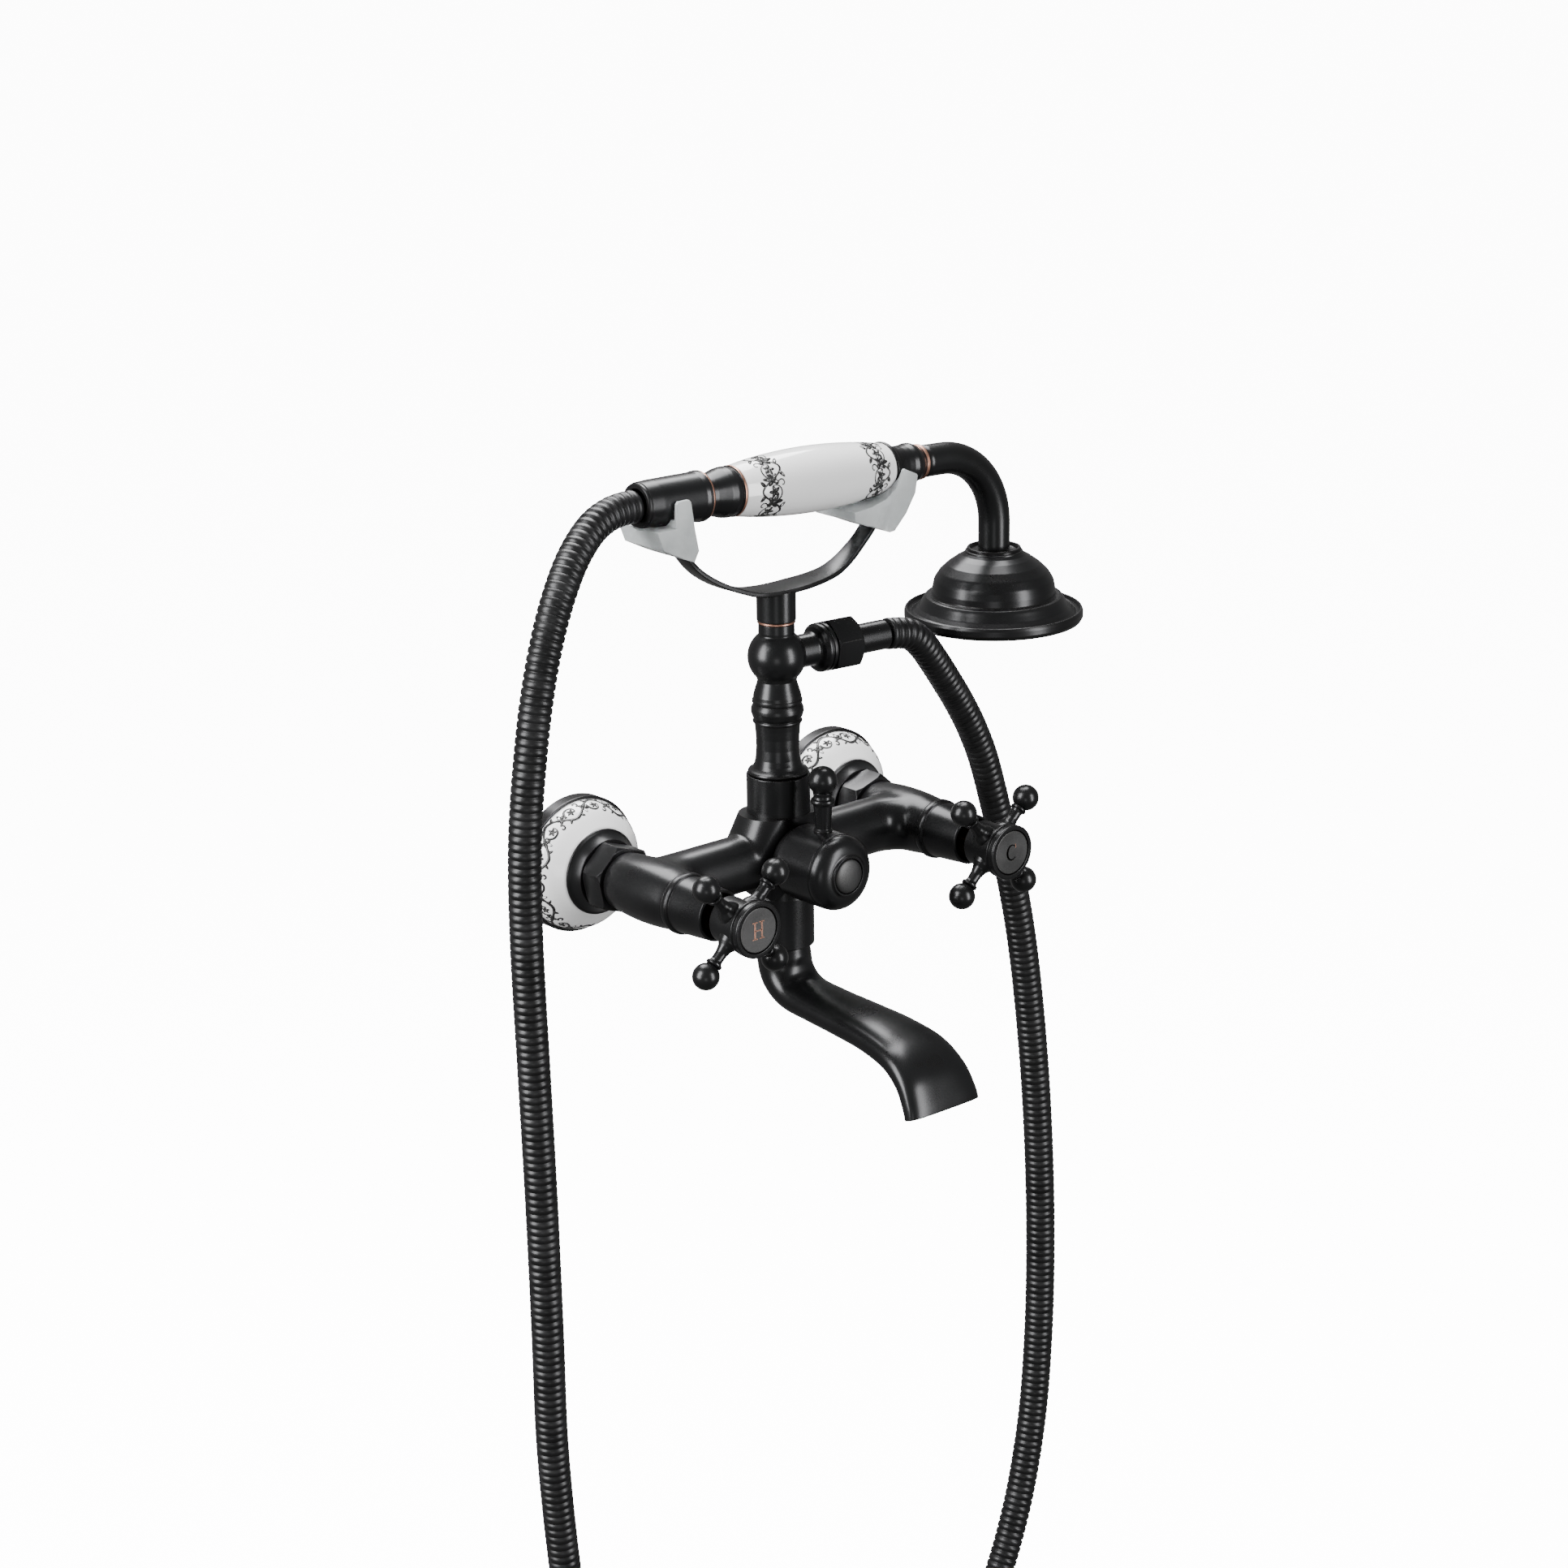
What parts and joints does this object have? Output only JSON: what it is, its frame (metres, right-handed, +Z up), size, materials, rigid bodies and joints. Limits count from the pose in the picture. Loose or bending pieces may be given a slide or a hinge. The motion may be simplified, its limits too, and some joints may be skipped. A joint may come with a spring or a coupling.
{
  "type": "wall mounted bath faucet",
  "caption": "Wall bath mixer with two cross handles, a lever diverter, a flat S spout and a riser that holds a telephone hand shower on a long hose.",
  "frame": {"origin": "on the wall, midway between the two inlet axes", "axes": "+X to the right along the wall, +Y into the wall, +Z up"},
  "size_m": [0.3406, 0.1795, 0.6851],
  "materials": {
    "black_metal": "oil-rubbed satin black",
    "brass": "turned",
    "rubber": "matte",
    "steel": "brushed",
    "ceramic": "glazed ceramic",
    "plastic": "milky translucent",
    "hose": "ribbed double-lock hose"
  },
  "bodies": {
    "base": {"inlet_union_left": "brass", "inlet_union_right": "brass", "flange_cup_left": "black_metal", "flange_cup_right": "black_metal", "flange_ring_left": "ceramic", "flange_ring_right": "ceramic", "flange_collar_left": "black_metal", "flange_collar_right": "black_metal", "coupling_nut_left": "black_metal", "coupling_nut_right": "black_metal", "inlet_washers": "rubber", "body_casting": "black_metal", "valve_sleeve_left": "black_metal", "valve_sleeve_right": "black_metal", "valve_cartridge_left": "brass", "valve_cartridge_right": "brass", "diverter_cartridge": "brass", "riser_grub_screw": "steel", "spout_grub_screw": "steel"},
    "hot_handle": {"valve_stem_hot": "brass", "cross_handle_hot": "black_metal", "handle_screw_hot": "steel", "index_button_hot": "black_metal"},
    "cold_handle": {"valve_stem_cold": "brass", "cross_handle_cold": "black_metal", "handle_screw_cold": "steel", "index_button_cold": "black_metal"},
    "diverter_knob": {"diverter_stem": "brass", "diverter_cap": "black_metal", "diverter_lever": "black_metal", "diverter_screw": "steel", "diverter_button": "black_metal"},
    "spout_arm": {"spout": "black_metal", "spout_o_ring": "rubber"},
    "riser": {"riser_column": "black_metal", "riser_o_ring": "rubber", "cradle_lock_ring": "brass", "cradle_strap": "black_metal", "cradle_hook_left": "plastic", "cradle_hook_right": "plastic", "hose_nut": "black_metal", "hose_washer": "rubber", "hose_ferrule": "black_metal", "hose": "hose"},
    "handset": {"hose_cone_nut": "black_metal", "cone_nut_washer": "rubber", "grip_tail_ferrule": "black_metal", "grip_core_tube": "brass", "ceramic_grip": "ceramic", "grip_neck_ferrule": "black_metal", "neck_tube": "black_metal", "head_shell": "black_metal", "head_lock_nut": "brass", "face_seal": "rubber", "spray_face": "black_metal", "spray_nozzles": "rubber"}
  },
  "joints": [
    {"name": "hot_turn", "type": "hinge", "parent": "base", "child": "hot_handle", "pos_m": [-0.075, -0.1146, 0], "axis": [0, -1, 0], "range_deg": [0, 90]},
    {"name": "cold_turn", "type": "hinge", "parent": "base", "child": "cold_handle", "pos_m": [0.075, -0.1146, 0], "axis": [0, 1, 0], "range_deg": [0, 90]},
    {"name": "diverter_turn", "type": "hinge", "parent": "base", "child": "diverter_knob", "pos_m": [0, -0.0837, 0], "axis": [0, 1, 0], "range_deg": [0, 90]},
    {"name": "spout_swivel", "type": "hinge", "parent": "base", "child": "spout_arm", "pos_m": [0, -0.056, -0.04], "axis": [0, 0, 1], "range_deg": [-60, 60]},
    {"name": "riser_swivel", "type": "hinge", "parent": "base", "child": "riser", "pos_m": [0, -0.054, 0.04], "axis": [0, 0, 1], "range_deg": [-15, 15]},
    {"name": "handset_lift", "type": "slide", "parent": "riser", "child": "handset", "axis": [0, 0, 1], "range_m": [0, 0.04]}
  ]
}
